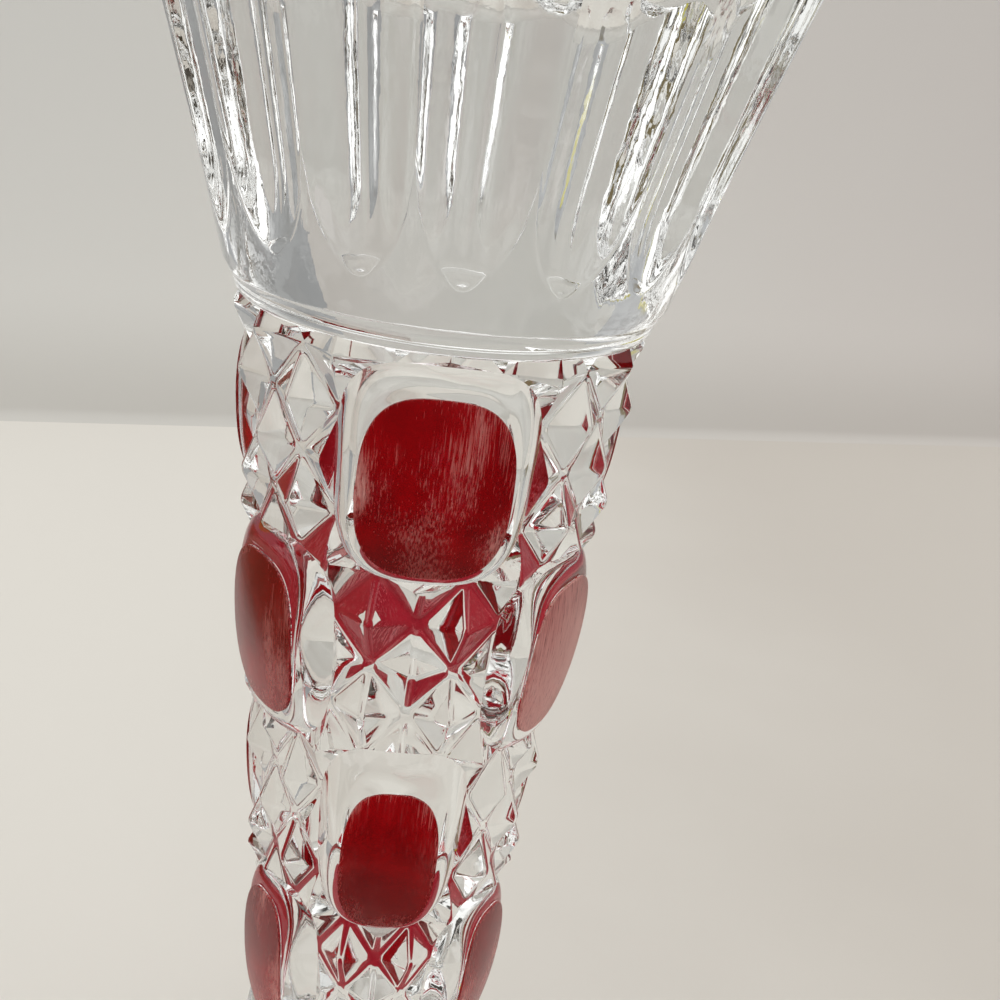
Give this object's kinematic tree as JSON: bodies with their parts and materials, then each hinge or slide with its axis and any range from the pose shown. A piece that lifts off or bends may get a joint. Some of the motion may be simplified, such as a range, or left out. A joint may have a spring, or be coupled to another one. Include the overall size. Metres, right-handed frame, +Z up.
{
  "type": "bud vase",
  "caption": "Crystal bud vase: flared fluted bowl on a tapering diamond-cut stem with raised ruby-capped medallions and a fluted foot.",
  "frame": {"origin": "centre of the foot's resting ring, on the surface the vase stands on", "axes": "+Z up along the vase's axis; the middle of medallion 1a faces -Y"},
  "size_m": [0.0888, 0.0888, 0.19],
  "materials": {
    "clear_crystal": "polished clear lead crystal",
    "ruby_flash": "thin ruby glass, polished, worn with fine scratches"
  },
  "bodies": {
    "root": {"crystal_body": "clear_crystal", "ruby_layer_1a": "ruby_flash", "ruby_layer_1b": "ruby_flash", "ruby_layer_1c": "ruby_flash", "ruby_layer_2a": "ruby_flash", "ruby_layer_2b": "ruby_flash", "ruby_layer_2c": "ruby_flash", "ruby_layer_3a": "ruby_flash", "ruby_layer_3b": "ruby_flash", "ruby_layer_3c": "ruby_flash", "ruby_layer_4a": "ruby_flash", "ruby_layer_4b": "ruby_flash", "ruby_layer_4c": "ruby_flash"}
  },
  "joints": []
}
